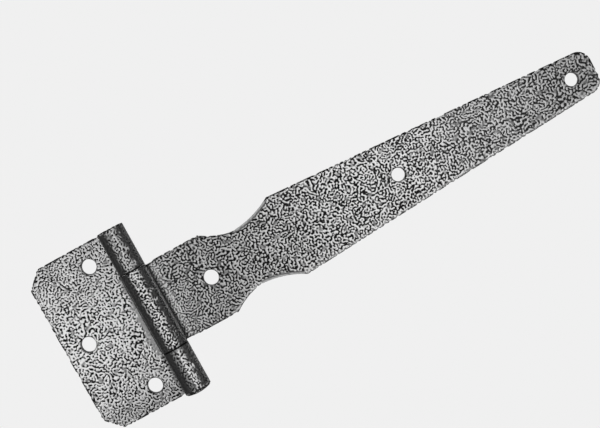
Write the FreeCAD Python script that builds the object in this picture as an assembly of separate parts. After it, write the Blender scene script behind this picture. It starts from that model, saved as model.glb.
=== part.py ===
"""Tee-shaped strap hinge of steel sheet: a leaf, a long strap and the pin through their knuckles.

Millimetres. The origin lies in the plane of the hinge's back, below the middle of the pin.
+X runs along the strap, +Y along the pin and +Z out of the front. Both plates lie open and flat.
"""

import FreeCAD, Part
import math
import os

Vector = FreeCAD.Vector

# Sheet
sheet = 2.5
rim_round = 0.4

# Pin and knuckles
pin_radius = 3.25
running_gap = 0.05
seam_gap = 0.4
knuckle_side_gap = 0.06
pin_head_radius = 5.2
pin_head_height = 1.3
pin_head_rim = 0.4
pin_tight_length = 8.0
pin_end_chamfer = 0.6
pin_end_recess = 0.3

# Leaf
leaf_height = 76.0
leaf_reach = 42.5
leaf_corner_cut = 6.8
leaf_corner_round = 1.6
notch_clearance = 0.9
notch_corner_round = 0.8
leaf_pair_from_axis = 16.0
leaf_pair_from_end = 9.5
leaf_single_from_edge = 10.4

# Strap
strap_width = 36.5
strap_length = 207.5
waist_start = 29.8
waist_end = 62.8
throat_from_axis = 43.0
throat_width = 25.2
short_curve_bow = 0.8
long_curve_bow = 1.35
waist_corner_round = 0.8
throat_round = 9.0
tip_width = 17.9
tip_corner_round = 5.5
base_hole_from_axis = 26.7
middle_hole_from_axis = 115.6
tip_hole_from_tip = 10.6

# Screw holes: the leaf's and the strap's first are wide, the strap's other two narrow
wide_hole_radius = 3.2
narrow_hole_radius = 2.8

# Worked out from the values above
bore_radius = pin_radius + running_gap
knuckle_radius = bore_radius + sheet
axis_height = knuckle_radius
leaf_top = leaf_height / 2
strap_side = strap_width / 2
notch_side = strap_side + knuckle_side_gap
notch_edge = -(knuckle_radius + notch_clearance)
tiny = 1e-6


def bowed_edge(start, end, bow):
    """Arc between two plan points whose middle lies to the right of the straight line by bow."""
    along = end - start
    right = Vector(along.y, -along.x, 0).normalize()
    middle = (start + end) * 0.5 + right * bow
    return Part.Arc(start, middle, end).toShape()


def round_corners(plate, corners, radius):
    """Round the upright edges of a plate at the given plan points and at their mirror points."""
    places = corners + [Vector(corner.x, -corner.y, 0) for corner in corners]
    uprights = []
    for edge in plate.Edges:
        start, end = edge.Vertexes[0].Point, edge.Vertexes[-1].Point
        foot = Vector(start.x, start.y, 0)
        is_upright = foot.distanceToPoint(Vector(end.x, end.y, 0)) < tiny
        if is_upright and any(foot.distanceToPoint(place) < tiny for place in places):
            uprights.append(edge)
    return plate.makeFillet(radius, uprights)


def soften_front(plate):
    """Round the front edge that the punch pulled in, except where the sheet runs on into a knuckle."""
    rim = []
    for edge in plate.Edges:
        box = edge.BoundBox
        on_front = box.ZMin > sheet - tiny
        at_knuckle = max(abs(box.XMin), abs(box.XMax)) < tiny
        if on_front and not at_knuckle:
            rim.append(edge)
    return plate.makeFillet(rim_round, rim)


def drill(plate, radius, places):
    """Cut screw holes of one radius through a plate."""
    for x, y in places:
        hole = Part.makeCylinder(radius, sheet, Vector(x, y, 0))
        plate = plate.cut(hole)
    return plate


def knuckle(side, low, high):
    """Sheet rolled up round the pin from y = low to y = high, for a plate on the side +1 or -1 of it.

    It leaves the plate below the pin, goes round the far side and over the top, and ends just
    above the plate's front, where the seam stays open by seam_gap.
    """
    leaves_plate = 3 * math.pi / 2
    ends = -math.asin((bore_radius - seam_gap) / knuckle_radius)
    angles = [leaves_plate, (leaves_plate + ends) / 2, ends]

    def at(radius, angle):
        return Vector(side * radius * math.cos(angle), low, axis_height + radius * math.sin(angle))

    outer = [at(knuckle_radius, angle) for angle in angles]
    inner = [at(bore_radius, angle) for angle in angles]
    section = Part.Wire([
        Part.Arc(*outer).toShape(),
        Part.LineSegment(outer[2], inner[2]).toShape(),
        Part.Arc(inner[2], inner[1], inner[0]).toShape(),
        Part.LineSegment(inner[0], outer[0]).toShape(),
    ])
    return Part.Face(section).extrude(Vector(0, high - low, 0))


def make_leaf():
    """Rectangular plate with two cut corners, and a knuckle at each end of its inner edge."""
    outer_edge = -leaf_reach
    cut_low = Vector(outer_edge, leaf_top - leaf_corner_cut, 0)
    cut_high = Vector(outer_edge + leaf_corner_cut, leaf_top, 0)
    notch_corner = Vector(notch_edge, notch_side, 0)
    half = [cut_low, cut_high, Vector(0, leaf_top, 0), Vector(0, notch_side, 0), notch_corner]
    other_half = [Vector(point.x, -point.y, 0) for point in reversed(half)]
    rim = Part.makePolygon(half + other_half + half[:1])
    plate = Part.Face(rim).extrude(Vector(0, 0, sheet))

    plate = round_corners(plate, [cut_low, cut_high], leaf_corner_round)
    plate = round_corners(plate, [notch_corner], notch_corner_round)
    plate = soften_front(plate)

    pair_y = leaf_top - leaf_pair_from_end
    single_x = outer_edge + leaf_single_from_edge
    places = [(-leaf_pair_from_axis, pair_y), (-leaf_pair_from_axis, -pair_y), (single_x, 0)]
    plate = drill(plate, wide_hole_radius, places)

    upper = knuckle(-1, notch_side, leaf_top)
    lower = knuckle(-1, -leaf_top, -notch_side)
    return plate.fuse([upper, lower]).removeSplitter()


def make_strap():
    """Long plate with a waist, a taper and a rounded tip, and one knuckle over its whole width."""
    base = Vector(0, strap_side, 0)
    waist_near = Vector(waist_start, strap_side, 0)
    throat = Vector(throat_from_axis, throat_width / 2, 0)
    waist_far = Vector(waist_end, strap_side, 0)
    tip = Vector(strap_length, tip_width / 2, 0)
    half = [
        Part.LineSegment(base, waist_near).toShape(),
        bowed_edge(waist_near, throat, short_curve_bow),
        bowed_edge(throat, waist_far, long_curve_bow),
        Part.LineSegment(waist_far, tip).toShape(),
    ]
    other_half = [edge.mirror(Vector(0, 0, 0), Vector(0, 1, 0)) for edge in half]
    tip_edge = Part.LineSegment(tip, Vector(tip.x, -tip.y, 0)).toShape()
    base_edge = Part.LineSegment(base, Vector(0, -base.y, 0)).toShape()
    rim = Part.sortEdges(half + other_half + [tip_edge, base_edge])[0]
    plate = Part.Face(Part.Wire(rim)).extrude(Vector(0, 0, sheet))

    plate = round_corners(plate, [tip], tip_corner_round)
    plate = round_corners(plate, [throat], throat_round)
    plate = round_corners(plate, [waist_near, waist_far], waist_corner_round)
    plate = soften_front(plate)

    tip_hole_x = strap_length - tip_hole_from_tip
    plate = drill(plate, wide_hole_radius, [(base_hole_from_axis, 0)])
    plate = drill(plate, narrow_hole_radius, [(middle_hole_from_axis, 0), (tip_hole_x, 0)])
    return plate.fuse(knuckle(1, -strap_side, strap_side)).removeSplitter()


def make_pin():
    """Pin with a low domed head under the lower knuckle, and an upper end swollen tight in its bore."""
    lower = -leaf_top
    upper = leaf_top - pin_end_recess
    rim_y = lower - pin_head_rim
    dome_y = lower - pin_head_height
    dome_rise = pin_head_height - pin_head_rim
    dome_sphere = (pin_head_radius ** 2 + dome_rise ** 2) / (2 * dome_rise)
    half_angle = math.asin(pin_head_radius / dome_sphere) / 2
    dome_middle = Vector(
        dome_sphere * math.sin(half_angle), dome_y + dome_sphere * (1 - math.cos(half_angle)), 0)

    def at(radius, y):
        return Vector(radius, y, 0)

    tight_start = upper - pin_tight_length
    corners = [
        at(pin_head_radius, rim_y),
        at(pin_head_radius, lower),
        at(pin_radius, lower),
        at(pin_radius, tight_start),
        at(bore_radius, tight_start),
        at(bore_radius, upper - pin_end_chamfer),
        at(bore_radius - pin_end_chamfer, upper),
        at(0, upper),
        at(0, dome_y),
    ]
    dome = Part.Arc(at(0, dome_y), dome_middle, at(pin_head_radius, rim_y)).toShape()
    section = Part.Face(Part.Wire([dome] + Part.makePolygon(corners).Edges))
    pin = section.revolve(Vector(0, 0, 0), Vector(0, 1, 0), 360)
    pin.translate(Vector(0, 0, axis_height))
    return pin


def main():
    os.makedirs("parts", exist_ok=True)
    nodes = {"leaf": make_leaf(), "strap": make_strap(), "pin": make_pin()}
    for name, shape in nodes.items():
        shape.exportStep("parts/" + name + ".step")
        print(name, shape.ShapeType, len(shape.Solids), shape.isValid(), round(shape.Volume, 1))


main()
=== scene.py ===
"""Looks of the strap hinge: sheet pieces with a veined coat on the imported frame, light and camera.

Sizes are in millimetres and become metres where a mesh, a lamp or the camera is made. Each piece of
sheet starts as a flat blank, as it leaves the punch: x runs away from the pin, and what lies beyond
x = 0 on the other side is the strip that is rolled up into the knuckle.
"""

import math
from functools import reduce
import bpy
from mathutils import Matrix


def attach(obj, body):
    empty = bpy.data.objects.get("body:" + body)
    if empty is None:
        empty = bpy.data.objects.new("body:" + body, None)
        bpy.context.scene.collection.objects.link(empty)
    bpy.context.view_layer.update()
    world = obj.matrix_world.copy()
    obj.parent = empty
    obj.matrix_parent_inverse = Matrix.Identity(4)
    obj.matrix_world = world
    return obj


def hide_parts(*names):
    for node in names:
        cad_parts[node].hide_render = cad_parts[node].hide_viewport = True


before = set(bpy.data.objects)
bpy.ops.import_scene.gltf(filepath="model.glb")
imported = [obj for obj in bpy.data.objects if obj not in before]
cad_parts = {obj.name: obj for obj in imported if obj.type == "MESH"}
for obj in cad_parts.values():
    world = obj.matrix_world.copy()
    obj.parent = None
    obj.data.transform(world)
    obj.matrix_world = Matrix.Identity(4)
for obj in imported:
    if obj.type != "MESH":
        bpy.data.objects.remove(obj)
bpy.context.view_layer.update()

from types import SimpleNamespace

import bpy
import numpy as np
from mathutils import Matrix, Vector
from mathutils.geometry import delaunay_2d_cdt
from mathutils.kdtree import KDTree

MM = 0.001

# Sheet
SHEET = 2.5
FRONT_RIM = 0.4
BACK_RIM = 0.3
SHOULDER = 0.2

# Mesh
FINE_STEP = 0.34
COARSE_STEP = 1.6
CLEAR_OF_EDGE = 0.6
RIM_STEPS = 4
FILLET_POINTS = 13
HOLE_POINTS = 64
PIN_POINTS = 64
DOME_POINTS = 9
NEARLY_STRAIGHT = math.radians(89.5)
POLE_RADIUS = 0.01
NUDGE = 0.01

# Pin and knuckles
PIN_RADIUS = 3.25
RUNNING_GAP = 0.05
BORE_RADIUS = PIN_RADIUS + RUNNING_GAP
KNUCKLE_RADIUS = BORE_RADIUS + SHEET
SEAM_GAP = 0.4
KNUCKLE_SIDE_GAP = 0.06
ROLL_TURN = 1.5 * math.pi + math.asin((BORE_RADIUS - SEAM_GAP) / KNUCKLE_RADIUS)
ROLL_LENGTH = KNUCKLE_RADIUS * ROLL_TURN
ROLL_END_ROUND = 0.8
PIN_HEAD_RADIUS = 5.2
PIN_HEAD_HEIGHT = 1.3
PIN_HEAD_RIM = 0.4
PIN_END_RECESS = 0.3
PIN_END_CHAMFER = 0.6
PIN_END_CORE = 1.2
PIN_TIGHT_LENGTH = 8.0
PIN_TIGHT_SLOPE = 0.2

# Radius of the screw holes. Below, a hole is given by x, y and radius on the blank
WIDE_HOLE = 3.2
NARROW_HOLE = 2.8

# Leaf
LEAF_TOP = 38.0
LEAF_REACH = 42.5
LEAF_CORNER_CUT = 6.8
LEAF_CORNER_ROUND = 1.6
NOTCH_CLEARANCE = 0.9
NOTCH_EDGE = KNUCKLE_RADIUS + NOTCH_CLEARANCE
NOTCH_ROUND = 0.8
PAIR_FROM_AXIS = 16.0
PAIR_SIDE = LEAF_TOP - 9.5
SINGLE_FROM_AXIS = LEAF_REACH - 10.4
LEAF_PAIR = [(PAIR_FROM_AXIS, PAIR_SIDE, WIDE_HOLE), (PAIR_FROM_AXIS, -PAIR_SIDE, WIDE_HOLE)]
LEAF_HOLES = LEAF_PAIR + [(SINGLE_FROM_AXIS, 0.0, WIDE_HOLE)]

# Strap
STRAP_SIDE = 18.25
STRAP_LENGTH = 207.5
WAIST_START = 29.8
WAIST_END = 62.8
THROAT = 43.0
THROAT_SIDE = 12.6
SHORT_BOW = 0.8
SHORT_BOW_PIECES = 9
LONG_BOW = 1.35
LONG_BOW_PIECES = 12
WAIST_ROUND = 0.8
THROAT_ROUND = 9.0
TIP_SIDE = 8.95
TIP_ROUND = 5.5
TIP_HOLE = STRAP_LENGTH - 10.6
STRAP_HOLES = [(26.7, 0.0, WIDE_HOLE), (115.6, 0.0, NARROW_HOLE), (TIP_HOLE, 0.0, NARROW_HOLE)]
NOTCH_SIDE = STRAP_SIDE + KNUCKLE_SIDE_GAP

# Shallow dip in the strap's sides just before its knuckle, as x, depth and radius of its corners
DIP = 0.5
DIP_CORNERS = [(9.2, 0.0, 0.8), (8.0, DIP, 0.6), (5.2, DIP, 0.4), (4.6, 0.0, 0.2)]

# Smooth lip that the punch drew in along the far half of the waist
LIP_START = 46.0
LIP_END = 61.5
LIP_WIDTH = 1.3
LIP_DROP = 0.3
LIP_SHARPNESS = 0.7
LIP_COURSE = {LIP_START - 3.0: 0, LIP_START: 1, LIP_END: 1, LIP_END + 0.8: 0}

# Relief: depth of the veins, and of the notches by their distance in from the edge
VEIN_DEPTH = 0.05
NOTCH_DEPTH = {0.3: 0.35, 0.9: 0.0}
FAR_FROM_EDGE = 6.0
FREE_OF_HOLE = 1.5
GAP_REACH_X = NOTCH_EDGE + 0.5
GAP_REACH_Y = STRAP_SIDE + 2.0

# How near a point of the outline counts as at the leaf's end, or in the notch for the strap's knuckle
END_MARGIN = 1.0
NOTCH_MARGIN = 0.3

# Strength of the dark line along the edges, where 1 is black: painted shade on the rounded rims, broken by
# the coat's beads. The strap's is given by x on its two sides
LEAF_LINE = 0.85
LEAF_END_LINE = 0.75
NOTCH_LINE = 0.2
HOLE_LINE = 0.4
ROLL_LINE = 0.8
UPPER_LINE = {25: 0.6, 32: 0.42, 45: 0.52, 70: 1.0}
LOWER_LINE = {25: 0.55, 33: 0.2, 50: 0.32, 70: 0.38, 115: 0.44, 160: 0.5}

# How much finer the veins run, by x on the strap and by the distance from the middle line on the leaf
STRAP_PACE = {8: 1.11, 45: 0.96, 90: 0.98, 130: 1.0, 200: 0.93}
LEAF_PACE = {8: 0.93, 26: 1.08}

# In the values of the coat and the sky, four numbers in brackets are a change: from, to, value before and
# value after. Three are a band: from, to and the width of its soft sides. PATCHES, SPECKLE and each
# WANDER are the size of the patches over which a number wanders, its lowest and highest value and detail

# Veins, by noises whose patches have the sizes given
VEIN_SCALE = 535.0
VEIN_SOFTNESS = 0.135
STRAIGHT_PATCH = 9.0
STRAIGHTNESS = (0.45, 0.7, 0.0, 0.3)
TURN_PATCH = 15.0
TURN = (0.25, 0.75, 0.0, 2 * math.pi)
PACE_PATCH = 5.0
PACE = (0.35, 0.65, 1.16, 1.48)
SUNK = (0.42, 0.585, -1.0, 0.0)

# Beads of coat along the edges. The share makes them tall enough to run from front to back
BEAD_SIZE = 1.35
BEAD_HEIGHT_SHARE = 0.2
BEAD = (0.42, 0.47, 0.0, 1.0)

# Ridges, and the odd patch of coat that ran smooth
NOISE_LOW = 0.3
NOISE_HIGH = 0.7
PATCHES = (4.5, -0.035, 0.035, 1.0)
SPECKLE = (0.9, -0.045, 0.045, 0.0)
SMOOTH_PATCH = 2.8
SMOOTHED = (0.58, 0.72, 0.0, 0.8)
SMOOTH = 0.42

# The leaf's smooth strip beside the strap's knuckle: the knuckle's painted shade and reflection
STRIP = 0.5
STRIP_WIDTH = (-8, 14, 2.3, 0.6)
STRIP_WANDER = (2.2, -1.2, 1.2, 1.0)
STRIP_SIDE = (-0.9, 0.9, 1.0, 0.0)
STRIP_LENGTH = (-17, 16, 4)

# The leaf's knuckles: painted shade in the crease beside the lower one, and how much painted light and
# shade lies on each
LOWER_KNUCKLE = (-20, -18, 1.0, 0.0)
CREASE = (-7.0, -5.0, 1.3)
CREASE_PAINTED_SHADE = 0.45
LEFTWARD = (0.02, 0.16, 1.0, 0.0)
UPPER_KNUCKLE_PAINTED_SHADE = 0.78
LOWER_KNUCKLE_PAINTED_LIGHT = 1.05
LOWER_LEFT_PAINTED_SHADE = 0.52

# Painted light and shade along a plate
LEAF_SHADES = [(-35, -25, 0.86, 1.0), (8, 20, 1.0, 0.95)]
STRAP_SHADES = [(18, 30, 1.07, 1.0), (35, 90, 0.865, 1.0), (130, 150, 1.0, 0.97), (178, 196, 1.0, 0.92)]

# The strap's marks: calm ends, a painted highlight along the edge, the lip at the waist with its painted
# highlight, and at the knuckle a painted glint, painted shade in the fold and a painted highlight on its
# side
CALM_BASE = (8, 50, 0.10, 0.0)
CALM_TIP = (125, 150, 0.0, 0.13)
LIT_SIDE = (-6, -5, 1.0, 0.0)
LIT_BAND = (0.4, 1.1, 0.35)
LIT_STRENGTH = (23, 31, 0.03, 0.38)
LIP_COVERED = (LIP_WIDTH - 0.1, LIP_WIDTH + 0.2, 0.88, 0.0)
LIP_PAINTED_HIGHLIGHT = (0.0, LIP_WIDTH, 1.35, 0.40)
# Painted glint along the fold, painted shade in the fold, and a painted highlight on the knuckle's side
GLINT = (7.2, 8.8, 0.7)
GLINT_STRENGTH = 0.26
FOLD_PAINTED_SHADE = 0.12
FOLD_SIDE = (5.7, 6.9, 0.9, 0.0)
FOLD_START = (2.0, 2.1, 0.0, 1.0)
SIDE_HIGHLIGHT = (-26.0, -25.7, 0.15)
SIDE_HIGHLIGHT_STRENGTH = 0.9

# Painted shade on the barrel's steep sides
STEEP = (0.84, 0.99, 0.0, 1.0)
STEEP_WANDER = (2.2, -0.65, 0.45, 1.0)
LEAN_SHARE = 0.15
STEEP_PAINTED_SHADE = (-0.6, 0.6, 0.105, 0.085)
VEINS_IN_STEEP_SHADE = 0.07
STEEPEST = (0.30, 0.62, 0.62, 0.0)

# The dark line along the edges: painted shade on the rounded rims and in the running gap between the
# knuckles
LINE_WANDER = (1.6, -0.5, 0.0, 0.0)
LINE_OVER_LIP = 0.35
LINE_HALF_WIDTH = 0.40
GAP_HALF_WIDTH = 0.28
LINE_SIDE = (0.0, 0.18, 1.0, 0.0)
BETWEEN_BEADS = 0.78
WALL = (-0.6, -0.3, 0.6, 0.0)

# The coat's darkest tone and its finish
DARKEST = 0.010
CONTRAST = 1.3
METALLIC = 0.95
ROUGHNESS = 0.34
BUMP_DEPTH = 0.08
BUMP_STRENGTH = 0.6

# The pin's coat is taken from this far away, so that it doesn't repeat the plates'
PIN_COAT_PLACE = 400

# Camera, at the photograph's place: almost straight above, turned about the view axis
CAMERA_PLACE = (84.8, 19.5, 417.8)
CAMERA_TARGET = (72.0, 5.3, 2.5)
CAMERA_UP = (0.4817, 0.8752, -0.0449)
FOCAL_LENGTH = 60.0
SENSOR_WIDTH = 36.0
CAMERA_NEAREST = 10.0

# Studio. The floor is far enough down for the strap to swing back through the open space
BACKDROP = 0.871
FLOOR_DROP = 215.0
FLOOR_REACH = 4000.0
FLOOR_SHADE = 0.42

# The sky's level by Z, the lowest level by distance along Y, and a factor by X
SKY_BY_HEIGHT = (0.45, 0.80, 0.60, 0.46)
SKY_AT_PIN_ENDS = (0.35, 0.9, 0.0, 0.50)
SKY_SIDEWAYS = (-0.8, 0.8, 0.72, 1.40)


# Plan outlines

def mirrored(corners):
    """Corners mirrored to the other side of the middle line, in reverse order."""
    return [(x, -y, radius) for x, y, radius in reversed(corners)]


def bowed(start, end, bow, pieces):
    """Corners between start and end on an arc whose middle stands bow to the left of the line."""
    start = np.array(start)
    end = np.array(end)
    half = np.linalg.norm(end - start) / 2
    along = (end - start) / (2 * half)
    left = np.array([-along[1], along[0]])
    radius = (half ** 2 + bow ** 2) / (2 * bow)
    centre = (start + end) / 2 - left * (radius - bow)
    reach = math.asin(half / radius)
    angles = np.linspace(-reach, reach, pieces + 1)[1:-1]
    return [tuple(centre + radius * (along * math.sin(a) + left * math.cos(a))) + (0,) for a in angles]


def fillet(before, corner, after, radius):
    """Points of the arc that rounds one corner."""
    corner = np.array(corner[:2])
    back = np.array(before[:2]) - corner
    on = np.array(after[:2]) - corner
    back = back / np.linalg.norm(back)
    on = on / np.linalg.norm(on)
    half = math.acos(max(-1.0, min(1.0, float(back @ on)))) / 2
    if radius == 0 or half > NEARLY_STRAIGHT:
        return [corner]
    middle = back + on
    centre = corner + middle / np.linalg.norm(middle) * radius / math.sin(half)
    start = corner + back * radius / math.tan(half)
    end = corner + on * radius / math.tan(half)
    first = math.atan2(*(start - centre)[::-1])
    last = math.atan2(*(end - centre)[::-1])
    sweep = (last - first + math.pi) % (2 * math.pi) - math.pi
    angles = first + sweep * np.linspace(0, 1, FILLET_POINTS)
    return [centre + radius * np.array([math.cos(a), math.sin(a)]) for a in angles]


def rounded(corners):
    """Closed outline through corners (x, y, radius)."""
    befores = corners[-1:] + corners[:-1]
    afters = corners[1:] + corners[:1]
    points = []
    for before, corner, after in zip(befores, corners, afters):
        points += fillet(before, corner, after, corner[2])
    return np.array(points)


def evenly(outline, step):
    """The closed outline with its points step apart."""
    closed = np.vstack([outline, outline[:1]])
    lengths = np.linalg.norm(np.diff(closed, axis=0), axis=1)
    travelled = np.concatenate([[0], np.cumsum(lengths)])
    count = int(round(travelled[-1] / step))
    stops = np.linspace(0, travelled[-1], count, endpoint=False)
    return np.stack([np.interp(stops, travelled, closed[:, axis]) for axis in (0, 1)], axis=1)


def strap_outline():
    """Blank of the strap, anticlockwise."""
    waist_start = (WAIST_START, STRAP_SIDE, WAIST_ROUND)
    throat = (THROAT, THROAT_SIDE, THROAT_ROUND)
    waist_end = (WAIST_END, STRAP_SIDE, WAIST_ROUND)
    half = [(STRAP_LENGTH, TIP_SIDE, TIP_ROUND), waist_end]
    half += bowed(waist_end[:2], throat[:2], LONG_BOW, LONG_BOW_PIECES)
    half += [throat]
    half += bowed(throat[:2], waist_start[:2], SHORT_BOW, SHORT_BOW_PIECES)
    half += [waist_start]
    half += [(x, STRAP_SIDE - depth, radius) for x, depth, radius in DIP_CORNERS]
    half += [(-ROLL_LENGTH, STRAP_SIDE, ROLL_END_ROUND)]
    return rounded(half + mirrored(half))


def leaf_outline():
    """Blank of the leaf, anticlockwise, with two strips that become its knuckles."""
    half = [
        (LEAF_REACH, LEAF_TOP - LEAF_CORNER_CUT, LEAF_CORNER_ROUND),
        (LEAF_REACH - LEAF_CORNER_CUT, LEAF_TOP, LEAF_CORNER_ROUND),
        (-ROLL_LENGTH, LEAF_TOP, ROLL_END_ROUND),
        (-ROLL_LENGTH, NOTCH_SIDE, ROLL_END_ROUND),
        (NOTCH_EDGE, NOTCH_SIDE, NOTCH_ROUND),
    ]
    return rounded(half + mirrored(half))


def hole_outline(x, y, radius):
    """Screw hole, clockwise, so that its outward side is the hole."""
    angles = -np.linspace(0, 2 * math.pi, HOLE_POINTS, endpoint=False)
    return np.stack([x + radius * np.cos(angles), y + radius * np.sin(angles)], axis=1)


def outward(loop):
    """Unit normals in the plan that point away from the sheet."""
    along = np.roll(loop, -1, axis=0) - np.roll(loop, 1, axis=0)
    normals = np.stack([along[:, 1], -along[:, 0]], axis=1)
    return normals / np.linalg.norm(normals, axis=1, keepdims=True)


# What changes over a blank

def course(stops, places):
    """Value at each place, straight between stops given as {place: value}."""
    return np.interp(places, list(stops), list(stops.values()))


def leaf_line(x, y):
    """Strength of the painted edge shade along the leaf's outline: faint beside the strap's knuckle."""
    at_end = x > LEAF_REACH - END_MARGIN
    in_notch = (np.abs(x - NOTCH_EDGE) < NOTCH_MARGIN) & (np.abs(y) < NOTCH_SIDE - END_MARGIN)
    return np.select([in_notch, at_end], [NOTCH_LINE, LEAF_END_LINE], LEAF_LINE)


def strap_line(x, y):
    """Strength of the painted edge shade along the strap's outline: fainter near the base and on the -Y
    side, where light falls on the edge.
    """
    on_plate = np.where(y > 0, course(UPPER_LINE, x), course(LOWER_LINE, x))
    return np.where(x < 0, ROLL_LINE, on_plate)


def strap_pace(blank):
    """How much finer the strap's veins run: finest beside the knuckle, coarsest at the tip."""
    x = blank[:, 0]
    return np.where(x < 0, 1.0, course(STRAP_PACE, x))


def leaf_pace(blank):
    """How much finer the leaf's veins run: coarsest in the middle."""
    return np.where(blank[:, 0] < 0, 1.0, course(LEAF_PACE, np.abs(blank[:, 1])))


def waist_lip(blank):
    """1 along the far half of the waist, fading out at its ends, and 0 elsewhere."""
    return course(LIP_COURSE, blank[:, 0]) * (np.abs(blank[:, 1]) < STRAP_SIDE)


def gap_sides(blank):
    """Where the blank ends up beside the running gap to the other piece."""
    return (blank[:, 0] < GAP_REACH_X) & (np.abs(blank[:, 1]) < GAP_REACH_Y)


def at_holes(blank, holes):
    """Where the blank lies at the rim of a screw hole."""
    near = [np.hypot(blank[:, 0] - x, blank[:, 1] - y) < radius + FREE_OF_HOLE for x, y, radius in holes]
    return np.any(near, axis=0)


def coat_values(blank, edge, line, holes, pace):
    """What the coat needs at each point of a sheet, besides its place."""
    beside_gap = gap_sides(blank)
    lip = waist_lip(blank)
    notches = course(NOTCH_DEPTH, edge) * ~beside_gap * ~at_holes(blank, holes) * (1 - lip)
    return {
        "edge_distance": edge,
        "edge_shade_line": line,
        "beside_gap": beside_gap * (blank[:, 0] < 0),
        "waist_lip": lip,
        "vein_pace": pace(blank),
        "vein_depth": np.where(beside_gap & (edge < 0), 0, VEIN_DEPTH) * MM,
        "bead_depth": notches * MM,
    }


# Blank to mesh

def rim_profile():
    """(inset, height) from the flat front over both rims to the flat back."""
    quarter = np.linspace(0, math.pi / 2, RIM_STEPS + 1)
    front = [(FRONT_RIM * (1 - math.sin(a)), SHEET - FRONT_RIM * (1 - math.cos(a))) for a in quarter]
    back = [(BACK_RIM * (1 - math.cos(a)), BACK_RIM * (1 - math.sin(a))) for a in quarter]
    wall = [(0.0, SHEET - 2 * FRONT_RIM), (0.0, SHEET / 2), (0.0, 2 * BACK_RIM)]
    return [(FRONT_RIM + SHOULDER, SHEET)] + front + wall + back + [(BACK_RIM + SHOULDER, 0.0)]


def rim_layer(rim, away, inset, height):
    """Points of all rims at one step of their profile, and how far each lies in from the edge.

    On the wall that number is negative, and counts down from the nearer face.
    """
    insets = inset * (1 - LIP_SHARPNESS * waist_lip(rim))
    points = np.column_stack([rim - away * insets[:, None], np.full(len(rim), height)])
    on_wall = BACK_RIM < height < SHEET - FRONT_RIM
    return points, np.full(len(rim), -min(height, SHEET - height)) if on_wall else insets


def ring_strip(upper, lower, size):
    """Quads between two rings of the same size, by the index of their first points."""
    following = np.roll(np.arange(size), -1)
    return [(upper + i, lower + i, lower + following[i], upper + following[i]) for i in range(size)]


def rim_faces(loops, layers):
    """Quads between the layers of every loop's rim."""
    rim_size = sum(map(len, loops))
    faces = []
    for layer in range(layers - 1):
        first = layer * rim_size
        for loop in loops:
            faces += ring_strip(first, first + rim_size, len(loop))
            first += len(loop)
    return faces


def inside(points, loops):
    """Which points lie inside an odd number of loops."""
    odd = np.zeros(len(points), bool)
    for loop in loops:
        ends = np.roll(loop, -1, axis=0)
        for (x0, y0), (x1, y1) in zip(loop, ends):
            if y0 == y1:
                continue
            spans = (points[:, 1] >= min(y0, y1)) & (points[:, 1] < max(y0, y1))
            crossing = x0 + (points[:, 1] - y0) * (x1 - x0) / (y1 - y0)
            odd ^= spans & (points[:, 0] < crossing)
    return odd


def nearest_tree(points):
    """Search tree over plan points."""
    tree = KDTree(len(points))
    for index, (x, y) in enumerate(points):
        tree.insert((x, y, 0), index)
    tree.balance()
    return tree


def grid(low, high, step):
    """Triangular grid of points over a box."""
    rows = np.arange(low[1], high[1], step * math.sqrt(3) / 2)
    columns = np.arange(low[0], high[0], step)
    points = [np.stack([columns + (row % 2) * step / 2, np.full(len(columns), y)], axis=1)
              for row, y in enumerate(rows)]
    return np.vstack(points)


def face_points(loops, fine_side):
    """Inner points of one face: fine where x * fine_side is positive, coarse on the hidden rest."""
    outer = loops[0]
    low, high = outer.min(axis=0), outer.max(axis=0)
    tree = nearest_tree(np.vstack(loops))
    chosen = []
    for step, wanted in ((FINE_STEP, 1), (COARSE_STEP, -1)):
        points = grid(low, high, step)
        points = points[points[:, 0] * fine_side * wanted > (0 if wanted > 0 else step / 2)]
        points = points[inside(points, loops)]
        clear = [tree.find((x, y, 0))[2] > CLEAR_OF_EDGE * step for x, y in points]
        chosen.append(points[np.array(clear, bool)])
    return np.vstack(chosen)


def triangles(loops, points):
    """Triangles over the loops' points and the inner points, indexed in that order."""
    edges = []
    first = 0
    for loop in loops:
        size = len(loop)
        edges += [(first + i, first + (i + 1) % size) for i in range(size)]
        first += size
    everything = np.vstack(loops + [points])
    made = delaunay_2d_cdt([Vector(p) for p in everything], edges, [], 1, 1e-7)
    faces = np.array(made[2])
    middles = everything[faces].mean(axis=1)
    return faces[inside(middles, loops)]


def blank_solid(outline, holes, outline_line):
    """Closed mesh of the flat blank: its points and faces, and at each point the distance in from the
    edge, the strength of the edge's line and the direction straight out of the edge.
    """
    loops = [evenly(outline, FINE_STEP)] + [hole_outline(*hole) for hole in holes]
    rim = np.vstack(loops)
    rim_away = np.vstack([outward(loop) for loop in loops])
    rim_line = np.full(len(rim), HOLE_LINE)
    rim_line[:len(loops[0])] = outline_line(*loops[0].T)
    parts = [rim_layer(rim, rim_away, *step) + (rim_line, rim_away) for step in rim_profile()]
    faces = rim_faces(loops, len(parts))

    tree = nearest_tree(rim)
    made = len(parts) * len(rim)
    for layer, height, fine_side in ((0, SHEET, 1), (len(parts) - 1, 0.0, -1)):
        borders = np.split(parts[layer][0][:, :2], np.cumsum([len(loop) for loop in loops])[:-1])
        inner = face_points(borders, fine_side)
        order = np.concatenate([layer * len(rim) + np.arange(len(rim)), made + np.arange(len(inner))])
        corners = order[triangles(borders, inner)]
        faces += [tuple(face) for face in (corners if height > 0 else corners[:, ::-1])]
        made += len(inner)
        nearest = [tree.find((x, y, 0)) for x, y in inner]
        edge = np.minimum([distance for _, _, distance in nearest], FAR_FROM_EDGE)
        closest = [index for _, index, _ in nearest]
        points = np.column_stack([inner, np.full(len(inner), height)])
        parts.append((points, edge, rim_line[closest], rim_away[closest]))
    points, edge, line, away = [np.concatenate(values) for values in zip(*parts)]
    return points, faces, edge, line, away


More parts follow.
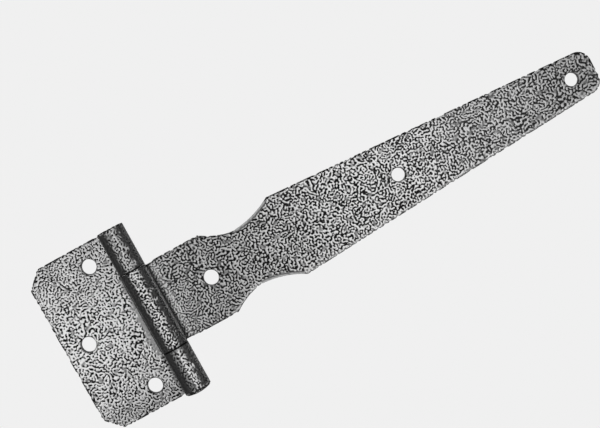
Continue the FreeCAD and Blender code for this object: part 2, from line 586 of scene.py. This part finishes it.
def rolled(points):
    """The blank's points with the strip beyond x = 0 rolled up round the pin."""
    shape = points.copy()
    strip = points[:, 0] < 0
    angle = 1.5 * math.pi + points[strip, 0] / KNUCKLE_RADIUS
    radius = KNUCKLE_RADIUS - points[strip, 2]
    shape[strip, 0] = radius * np.cos(angle)
    shape[strip, 2] = KNUCKLE_RADIUS + radius * np.sin(angle)
    return shape


def keep_vectors(mesh, name, vectors):
    """Keep one vector per point on the mesh."""
    attribute = mesh.attributes.new(name, "FLOAT_VECTOR", "POINT")
    attribute.data.foreach_set("vector", vectors.astype(np.float32).ravel())


def new_piece(name, points, faces, sheet_places, values):
    """Mesh object from millimetre points, with the coat's own coordinates and values kept on it."""
    mesh = bpy.data.meshes.new(name)
    mesh.from_pydata((points * MM).tolist(), [], faces)
    keep_vectors(mesh, "sheet_place", sheet_places * MM)
    for value_name, numbers in values.items():
        attribute = mesh.attributes.new(value_name, "FLOAT", "POINT")
        attribute.data.foreach_set("value", numbers.astype(np.float32))
    mesh.shade_smooth()
    mesh.update()
    obj = bpy.data.objects.new(name, mesh)
    bpy.context.scene.collection.objects.link(obj)
    return obj


def sheet_piece(name, outline, holes, outline_line, pace, side):
    """Plate with its rolled knuckles. side is +1 where the plate lies on +X and -1 on -X."""
    blank, faces, edge, line, away = blank_solid(outline, holes, outline_line)
    on_front = blank[:, 2] > SHEET / 2
    drop = LIP_DROP * np.clip(1 - np.abs(edge) / LIP_WIDTH, 0, 1) * waist_lip(blank) * on_front
    none = np.zeros(len(blank))
    pressed = blank - np.column_stack([none, none, drop])
    shape = rolled(pressed)
    nudged = rolled(pressed + np.column_stack([away, none]) * NUDGE)
    inward = (shape - nudged) / NUDGE
    places = blank.copy()
    for vectors in (shape, inward, places):
        vectors[:, 0] *= side
    if side < 0:
        faces = [face[::-1] for face in faces]
    piece = new_piece(name, shape, faces, places, coat_values(blank, edge, line, holes, pace))
    keep_vectors(piece.data, "inward", inward)
    relief(piece)
    return piece


def pin_profile():
    """(y, radius) down the pin from the middle of its upper end to the middle of its head."""
    upper = LEAF_TOP - PIN_END_RECESS
    chamfered = BORE_RADIUS - PIN_END_CHAMFER
    tight_end = upper - PIN_TIGHT_LENGTH
    rise = PIN_HEAD_HEIGHT - PIN_HEAD_RIM
    dome = (PIN_HEAD_RADIUS ** 2 + rise ** 2) / (2 * rise)
    reach = math.asin(PIN_HEAD_RADIUS / dome)
    low = -LEAF_TOP - PIN_HEAD_HEIGHT
    profile = [(upper, POLE_RADIUS), (upper, PIN_END_CORE), (upper, chamfered)]
    profile += [(upper - PIN_END_CHAMFER, BORE_RADIUS), (tight_end, BORE_RADIUS)]
    profile += [(tight_end - PIN_TIGHT_SLOPE, PIN_RADIUS), (-LEAF_TOP, PIN_RADIUS)]
    profile += [(-LEAF_TOP, PIN_HEAD_RADIUS), (-LEAF_TOP - PIN_HEAD_RIM, PIN_HEAD_RADIUS)]
    for share in np.linspace(1, 0, DOME_POINTS)[1:]:
        angle = reach * share
        profile.append((low + dome * (1 - math.cos(angle)), max(dome * math.sin(angle), POLE_RADIUS)))
    return profile


def pin_piece(name):
    """The pin with its domed head."""
    profile = pin_profile()
    points, places, faces = [], [], []
    travelled = 0.0
    before = profile[0]
    for y, radius in profile:
        travelled += math.hypot(y - before[0], radius - before[1])
        before = (y, radius)
        for turn in range(PIN_POINTS):
            angle = 2 * math.pi * turn / PIN_POINTS
            across = radius * math.cos(angle)
            up = radius * math.sin(angle)
            points.append((across, y, KNUCKLE_RADIUS + up))
            places.append((across + PIN_COAT_PLACE, travelled + up, 0))
    last = (len(profile) - 1) * PIN_POINTS
    for ring in range(0, last, PIN_POINTS):
        faces += [face[::-1] for face in ring_strip(ring, ring + PIN_POINTS, PIN_POINTS)]
    faces.append(tuple(reversed(range(PIN_POINTS))))
    faces.append(tuple(range(last, last + PIN_POINTS)))
    values = {"edge_distance": np.full(len(points), FAR_FROM_EDGE), "vein_pace": np.ones(len(points))}
    return new_piece(name, np.array(points), faces, np.array(places), values)


# Node helpers, for materials and for geometry

def add(tree, kind, **settings):
    """New node with its settings."""
    node = tree.nodes.new(kind)
    for name, value in settings.items():
        setattr(node, name, value)
    return node


def feed(tree, socket, value):
    """Set a socket to a number or colour, or link an output to it."""
    if isinstance(value, bpy.types.NodeSocket):
        tree.links.new(value, socket)
    else:
        socket.default_value = value


def maths(tree, operation, *values):
    """Math node over numbers and outputs."""
    node = add(tree, "ShaderNodeMath", operation=operation)
    for socket, value in zip(node.inputs, values):
        feed(tree, socket, value)
    return node.outputs[0]


def total(tree, *values):
    """All values added."""
    return reduce(lambda result, value: maths(tree, "ADD", result, value), values)


def product(tree, *values):
    """All values multiplied."""
    return reduce(lambda result, value: maths(tree, "MULTIPLY", result, value), values)


def vector_maths(tree, operation, first, second):
    """Vector math node. With SCALE, the second value is a number."""
    node = add(tree, "ShaderNodeVectorMath", operation=operation)
    feed(tree, node.inputs[0], first)
    feed(tree, node.inputs["Scale" if operation == "SCALE" else 1], second)
    return node.outputs[0]


def axes(tree, vector):
    """The outputs X, Y and Z of a vector."""
    node = add(tree, "ShaderNodeSeparateXYZ")
    feed(tree, node.inputs[0], vector)
    return node.outputs


def ramp(tree, value, low, high, start=0.0, end=1.0, smooth=True):
    """Value from low..high mapped to start..end."""
    kind = "SMOOTHSTEP" if smooth else "LINEAR"
    node = add(tree, "ShaderNodeMapRange", interpolation_type=kind)
    for name, number in (("Value", value), ("From Min", low), ("From Max", high),
                         ("To Min", start), ("To Max", end)):
        feed(tree, node.inputs[name], number)
    return node.outputs[0]


def between(tree, value, low, high, soft):
    """1 where value lies between low and high, fading out over soft on either side."""
    rise = ramp(tree, value, low - soft, low)
    fall = ramp(tree, value, high, high + soft, 1.0, 0.0)
    return product(tree, rise, fall)


def blended(tree, share, first, second):
    """Number between first and second."""
    node = add(tree, "ShaderNodeMix", data_type="FLOAT")
    for socket, value in zip(node.inputs[0:1] + node.inputs[2:4], (share, first, second)):
        feed(tree, socket, value)
    return node.outputs[0]


def noise(tree, place, size, detail=0.0):
    """Soft noise whose patches are about size mm across."""
    node = add(tree, "ShaderNodeTexNoise")
    feed(tree, node.inputs["Vector"], place)
    feed(tree, node.inputs["Scale"], 1 / (size * MM))
    feed(tree, node.inputs["Detail"], detail)
    return node.outputs[0]


def uneven(tree, place, wander):
    """Number that wanders between a lowest and a highest value over the surface."""
    size, low, high, detail = wander
    return ramp(tree, noise(tree, place, size, detail), NOISE_LOW, NOISE_HIGH, low, high, smooth=False)


# Coat and relief, from the same veins and beads

def veins(tree, place, pace):
    """The coat's worm-like field: low in the veins, high on the ridges, 0.5 between them."""
    straightness = ramp(tree, noise(tree, place, STRAIGHT_PATCH), *STRAIGHTNESS)
    turn = ramp(tree, noise(tree, place, TURN_PATCH), *TURN, smooth=False)
    local_pace = ramp(tree, noise(tree, place, PACE_PATCH), *PACE)
    node = add(tree, "ShaderNodeTexGabor", gabor_type="2D")
    feed(tree, node.inputs["Vector"], place)
    feed(tree, node.inputs["Scale"], VEIN_SCALE)
    feed(tree, node.inputs["Frequency"], product(tree, pace, local_pace))
    feed(tree, node.inputs["Anisotropy"], straightness)
    feed(tree, node.inputs["Orientation"], turn)
    return node.outputs["Value"]


def beads(tree, place):
    """1 in the beads along the edges and 0 between them, much the same from front to back."""
    drawn_out = vector_maths(tree, "MULTIPLY", place, (1.0, 1.0, BEAD_HEIGHT_SHARE))
    return ramp(tree, noise(tree, drawn_out, BEAD_SIZE), *BEAD)


def kept(tree, name, kind="FLOAT"):
    """A value kept on the mesh's points, in a geometry tree."""
    node = add(tree, "GeometryNodeInputNamedAttribute", data_type=kind)
    feed(tree, node.inputs["Name"], name)
    return node.outputs["Attribute"]


def relief_offset(tree):
    """How far each point moves: down into the veins, and straight in between the beads."""
    place = kept(tree, "sheet_place", "FLOAT_VECTOR")
    field = veins(tree, place, kept(tree, "vein_pace"))
    sunk = product(tree, ramp(tree, field, *SUNK), kept(tree, "vein_depth"))
    between_beads = maths(tree, "SUBTRACT", 1.0, beads(tree, place))
    notched = product(tree, between_beads, kept(tree, "bead_depth"))
    normal = add(tree, "GeometryNodeInputNormal").outputs[0]
    sinking = vector_maths(tree, "SCALE", normal, sunk)
    notching = vector_maths(tree, "SCALE", kept(tree, "inward", "FLOAT_VECTOR"), notched)
    return vector_maths(tree, "ADD", sinking, notching)


def relief(piece):
    """Sink the veins into the piece's own mesh and notch its outline between the beads."""
    tree = bpy.data.node_groups.new("relief", "GeometryNodeTree")
    for way in ("INPUT", "OUTPUT"):
        tree.interface.new_socket("Geometry", in_out=way, socket_type="NodeSocketGeometry")
    start = add(tree, "NodeGroupInput")
    move = add(tree, "GeometryNodeSetPosition")
    end = add(tree, "NodeGroupOutput")
    feed(tree, move.inputs["Geometry"], start.outputs[0])
    feed(tree, move.inputs["Offset"], relief_offset(tree))
    feed(tree, end.inputs[0], move.outputs[0])

    modifier = piece.modifiers.new("relief", "NODES")
    modifier.node_group = tree
    shaped = piece.evaluated_get(bpy.context.evaluated_depsgraph_get())
    mesh = bpy.data.meshes.new_from_object(shaped)
    piece.modifiers.clear()
    piece.data = mesh


def sheet_spot(tree):
    """What the coat knows of a point: its place on the sheet, what lies near it, and its slope.

    x and y are in mm and signed as on the hinge. past_pin is 1 where x is positive, which is the
    strap's plate or the leaf's roll.
    """
    def number(name):
        return add(tree, "ShaderNodeAttribute", attribute_name=name).outputs["Fac"]

    place = add(tree, "ShaderNodeAttribute", attribute_name="sheet_place").outputs["Vector"]
    on_sheet = axes(tree, place)
    x = maths(tree, "DIVIDE", on_sheet["X"], MM)
    slope = axes(tree, add(tree, "ShaderNodeTexCoord").outputs["Normal"])
    return SimpleNamespace(
        place=place,
        x=x,
        y=maths(tree, "DIVIDE", on_sheet["Y"], MM),
        past_pin=ramp(tree, x, -1, 1),
        edge=number("edge_distance"),
        line=number("edge_shade_line"),
        gap=number("beside_gap"),
        lip=number("waist_lip"),
        pace=number("vein_pace"),
        lean=slope["X"],
        facing=maths(tree, "ABSOLUTE", slope["Z"]),
    )


def ridges(tree, spot, field, level):
    """Silver share of the surface: ridges light, veins dark, and the odd patch that ran smooth."""
    patches = uneven(tree, spot.place, PATCHES)
    speckle = uneven(tree, spot.place, SPECKLE)
    light = ramp(tree, total(tree, field, patches, speckle), level, level + VEIN_SOFTNESS)
    smoothed = ramp(tree, noise(tree, spot.place, SMOOTH_PATCH, detail=1.0), *SMOOTHED)
    return blended(tree, smoothed, light, SMOOTH)


def shaded(tree, value, shades):
    """All shades along value, multiplied."""
    return product(tree, *[ramp(tree, value, *shade) for shade in shades])


def leaf_strip(tree, spot, light):
    """Smooth strip beside the strap's knuckle, widest below the middle: the knuckle's painted shade and
    reflection, as an even grey without veins.
    """
    width = ramp(tree, spot.y, *STRIP_WIDTH)
    from_notch = maths(tree, "SUBTRACT", maths(tree, "MULTIPLY", spot.x, -1.0), NOTCH_EDGE)
    wander = uneven(tree, spot.place, STRIP_WANDER)
    beyond = maths(tree, "SUBTRACT", total(tree, from_notch, wander), width)
    beside_knuckle = between(tree, spot.y, *STRIP_LENGTH)
    on_strip = product(tree, ramp(tree, beyond, *STRIP_SIDE), beside_knuckle)
    return blended(tree, on_strip, light, STRIP)


def leaf_knuckles(tree, spot, light):
    """Painted shade on the upper knuckle and on the left of the lower one, a faint painted highlight on the
    rest of the lower one, and painted shade in the crease beside it.
    """
    lower = ramp(tree, spot.y, *LOWER_KNUCKLE)
    crease = product(tree, between(tree, spot.x, *CREASE), lower, CREASE_PAINTED_SHADE)
    light = product(tree, light, maths(tree, "SUBTRACT", 1.0, crease))
    leftward = ramp(tree, spot.lean, *LEFTWARD)
    on_lower = blended(tree, leftward, LOWER_KNUCKLE_PAINTED_LIGHT, LOWER_LEFT_PAINTED_SHADE)
    on_knuckles = blended(tree, lower, UPPER_KNUCKLE_PAINTED_SHADE, on_lower)
    return product(tree, light, blended(tree, spot.past_pin, 1.0, on_knuckles))


def leaf_shade(tree, spot, light):
    """Painted shade: the plate darker at both ends of the leaf, more so at the lower one."""
    return product(tree, light, blended(tree, spot.past_pin, shaded(tree, spot.y, LEAF_SHADES), 1.0))


def strap_calm(tree, spot, light):
    """Flatter contrast at both ends of the strap's plate."""
    near_ends = total(tree, ramp(tree, spot.x, *CALM_BASE), ramp(tree, spot.x, *CALM_TIP))
    return blended(tree, product(tree, near_ends, spot.past_pin), light, SMOOTH)


def strap_shade(tree, spot, light):
    """Painted light and shade: the plate darker towards the base and the tip, most so at the waist."""
    return product(tree, light, blended(tree, spot.past_pin, 1.0, shaded(tree, spot.x, STRAP_SHADES)))


def strap_edge_highlight(tree, spot, light):
    """Painted highlight: a lit line just inside the outline on the plate's -Y side."""
    inside_outline = between(tree, spot.edge, *LIT_BAND)
    lit_side = ramp(tree, spot.y, *LIT_SIDE)
    strength = ramp(tree, spot.x, *LIT_STRENGTH)
    return total(tree, light, product(tree, inside_outline, lit_side, spot.past_pin, strength))


def strap_lip(tree, spot, light):
    """The punch's smooth lip at the waist, with a painted highlight at the outline that fades towards its
    foot.
    """
    covered = product(tree, spot.lip, ramp(tree, spot.edge, *LIP_COVERED))
    return blended(tree, covered, light, ramp(tree, spot.edge, *LIP_PAINTED_HIGHLIGHT))


def strap_knuckle(tree, spot, light):
    """Painted shade in the fold beside the knuckle with a painted glint along it, and a painted highlight
    on the knuckle's side.
    """
    glint = between(tree, spot.x, *GLINT)
    light = total(tree, light, product(tree, glint, GLINT_STRENGTH))
    fold = product(tree, ramp(tree, spot.x, *FOLD_SIDE), ramp(tree, spot.x, *FOLD_START))
    light = blended(tree, fold, light, FOLD_PAINTED_SHADE)
    side_highlight = between(tree, spot.x, *SIDE_HIGHLIGHT)
    return total(tree, light, product(tree, side_highlight, SIDE_HIGHLIGHT_STRENGTH))


def steep_sides(tree, spot, light):
    """Painted shade on the barrel's steep sides, for the dark surroundings they reflect, in a wider band on
    the side that leans towards -X.
    """
    turned = maths(tree, "SUBTRACT", 1.0, spot.facing)
    wander = product(tree, turned, uneven(tree, spot.place, STEEP_WANDER))
    flatness = total(tree, spot.facing, product(tree, spot.lean, LEAN_SHARE), wander)
    steep_shade = total(tree, ramp(tree, spot.lean, *STEEP_PAINTED_SHADE), product(tree, light, VEINS_IN_STEEP_SHADE))
    steep_shade = blended(tree, ramp(tree, spot.facing, *STEEPEST), steep_shade, light)
    return blended(tree, ramp(tree, flatness, *STEEP), steep_shade, light)


def beaded_rim(tree, spot, light):
    """Dark line along the edges: painted shade on the rounded rims, broken by the coat's beads and unbroken
    in the running gap between the knuckles, and plainer veins on the sheet's walls.
    """
    over_lip = product(tree, spot.lip, LINE_OVER_LIP - LIP_WIDTH)
    inset = total(tree, uneven(tree, spot.place, LINE_WANDER), over_lip)
    inset = blended(tree, spot.gap, inset, 0.0)
    from_line = maths(tree, "ABSOLUTE", total(tree, spot.edge, inset))
    half_width = blended(tree, spot.gap, LINE_HALF_WIDTH, GAP_HALF_WIDTH)
    half_width = blended(tree, spot.lip, half_width, 0.0)
    beyond = maths(tree, "SUBTRACT", from_line, half_width)
    near = product(tree, ramp(tree, beyond, *LINE_SIDE), spot.line)
    unbroken = maths(tree, "MAXIMUM", spot.gap, spot.lip)
    dark = maths(tree, "MAXIMUM", unbroken, beads(tree, spot.place))
    light = blended(tree, near, light, blended(tree, dark, BETWEEN_BEADS, 0.0))
    free_side = maths(tree, "SUBTRACT", 1.0, spot.gap)
    free_wall = product(tree, ramp(tree, spot.edge, *WALL), free_side)
    return blended(tree, free_wall, light, SMOOTH)


def grey(value):
    """Opaque grey."""
    return (value, value, value, 1.0)


def emptied(owner):
    """Node tree of a material or world, switched on and emptied."""
    owner.use_nodes = True
    owner.node_tree.nodes.clear()
    return owner.node_tree


def coat(name, level, silver, marks=()):
    """Veined antique silver powder coat, whose ridges are silver bright. A lower level gives finer veins.

    Each mark takes the share of silver and gives it back changed; most of them paint light and shade into
    it.
    """
    material = bpy.data.materials.new(name)
    tree = emptied(material)
    spot = sheet_spot(tree)
    field = veins(tree, spot.place, spot.pace)
    light = ridges(tree, spot, field, level)
    for mark in [*marks, steep_sides, beaded_rim]:
        light = mark(tree, spot, light)

    tone = ramp(tree, maths(tree, "POWER", light, CONTRAST), 0.0, 1.0, DARKEST, silver, False)
    mix = add(tree, "ShaderNodeCombineColor")
    for socket in mix.inputs:
        feed(tree, socket, tone)
    bump = add(tree, "ShaderNodeBump")
    feed(tree, bump.inputs["Height"], field)
    feed(tree, bump.inputs["Distance"], BUMP_DEPTH * MM)
    feed(tree, bump.inputs["Strength"], BUMP_STRENGTH)
    shader = add(tree, "ShaderNodeBsdfPrincipled")
    feed(tree, shader.inputs["Base Color"], mix.outputs[0])
    feed(tree, shader.inputs["Metallic"], METALLIC)
    feed(tree, shader.inputs["Roughness"], ROUGHNESS)
    feed(tree, shader.inputs["Normal"], bump.outputs[0])
    out = add(tree, "ShaderNodeOutputMaterial")
    feed(tree, out.inputs["Surface"], shader.outputs[0])
    return material


# Studio

def camera():
    """Camera at the photograph's place."""
    place = Vector(CAMERA_PLACE) * MM
    target = Vector(CAMERA_TARGET) * MM
    data = bpy.data.cameras.new("camera")
    data.sensor_width = SENSOR_WIDTH
    data.lens = FOCAL_LENGTH
    data.clip_start = CAMERA_NEAREST * MM
    back = (place - target).normalized()
    right = Vector(CAMERA_UP).cross(back).normalized()
    turn = Matrix((right, back.cross(right), back)).transposed().to_4x4()
    obj = bpy.data.objects.new("camera", data)
    obj.matrix_world = Matrix.Translation(place) @ turn
    bpy.context.scene.collection.objects.link(obj)
    bpy.context.scene.camera = obj


def seen_or_lit(tree, seen, lit):
    """seen for what the camera looks at directly, lit for the light that falls on the object."""
    path = add(tree, "ShaderNodeLightPath")
    mix = add(tree, "ShaderNodeMixShader")
    feed(tree, mix.inputs[0], path.outputs["Is Camera Ray"])
    feed(tree, mix.inputs[1], lit.outputs[0])
    feed(tree, mix.inputs[2], seen.outputs[0])
    return mix.outputs[0]


def floor():
    """Pale plain floor."""
    reach = FLOOR_REACH * MM
    height = -FLOOR_DROP * MM
    corners = [(x * reach, y * reach, height) for x, y in ((-1, -1), (1, -1), (1, 1), (-1, 1))]
    mesh = bpy.data.meshes.new("floor")
    mesh.from_pydata(corners, [], [(0, 1, 2, 3)])
    material = bpy.data.materials.new("floor")
    tree = emptied(material)
    seen = add(tree, "ShaderNodeEmission")
    feed(tree, seen.inputs["Color"], grey(BACKDROP))
    lit = add(tree, "ShaderNodeBsdfDiffuse")
    feed(tree, lit.inputs["Color"], grey(FLOOR_SHADE))
    out = add(tree, "ShaderNodeOutputMaterial")
    feed(tree, out.inputs["Surface"], seen_or_lit(tree, seen, lit))
    mesh.materials.append(material)
    obj = bpy.data.objects.new("floor", mesh)
    bpy.context.scene.collection.objects.link(obj)


def sky():
    """Soft light from all round: weaker overhead, brighter towards +X, and never weak at the pin's ends."""
    world = bpy.data.worlds.new("studio")
    bpy.context.scene.world = world
    tree = emptied(world)
    way = axes(tree, add(tree, "ShaderNodeTexCoord").outputs["Generated"])
    by_height = ramp(tree, way["Z"], *SKY_BY_HEIGHT)
    sideways = ramp(tree, way["X"], *SKY_SIDEWAYS, smooth=False)
    at_pin_ends = ramp(tree, maths(tree, "ABSOLUTE", way["Y"]), *SKY_AT_PIN_ENDS)
    level = maths(tree, "MAXIMUM", product(tree, by_height, sideways), at_pin_ends)
    seen = add(tree, "ShaderNodeBackground")
    feed(tree, seen.inputs["Color"], grey(BACKDROP))
    lit = add(tree, "ShaderNodeBackground")
    feed(tree, lit.inputs["Color"], grey(1.0))
    feed(tree, lit.inputs["Strength"], level)
    out = add(tree, "ShaderNodeOutputWorld")
    feed(tree, out.inputs["Surface"], seen_or_lit(tree, seen, lit))


def lamp(name, place, aim, size, watts):
    """Soft square lamp that the camera doesn't see."""
    data = bpy.data.lights.new(name, "AREA")
    data.size = size * MM
    data.energy = watts
    obj = bpy.data.objects.new(name, data)
    obj.location = Vector(place) * MM
    obj.rotation_mode = "QUATERNION"
    obj.rotation_quaternion = (Vector(aim) - Vector(place)).to_track_quat("-Z", "Y")
    obj.visible_camera = False
    bpy.context.scene.collection.objects.link(obj)


def dress(piece, body, node, material):
    """Put the piece in the node's place."""
    piece.data.materials.append(material)
    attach(piece, body)
    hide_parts(node)


def main():
    bpy.context.scene.view_settings.view_transform = "Standard"
    camera()
    floor()
    sky()
    lamp("middle_lamp", place=(150, 0, 700), aim=(110, 0, 0), size=220, watts=0.25)
    lamp("leaf_lamp", place=(-118, -3, 250), aim=(-42, -3, 0), size=70, watts=0.033)

    leaf = sheet_piece("leaf_sheet", leaf_outline(), LEAF_HOLES, leaf_line, leaf_pace, side=-1)
    leaf_marks = [leaf_strip, leaf_knuckles, leaf_shade]
    dress(leaf, "leaf_side", "leaf",
          coat("leaf_coat", level=0.402, silver=0.785, marks=leaf_marks))

    strap = sheet_piece("strap_sheet", strap_outline(), STRAP_HOLES, strap_line, strap_pace, side=1)
    strap_marks = [strap_calm, strap_shade, strap_edge_highlight, strap_lip, strap_knuckle]
    dress(strap, "strap_side", "strap",
          coat("strap_coat", level=0.441, silver=0.76, marks=strap_marks))

    pin = pin_piece("pin_rivet")
    dress(pin, "leaf_side", "pin", coat("pin_coat", level=0.42, silver=0.6))


main()
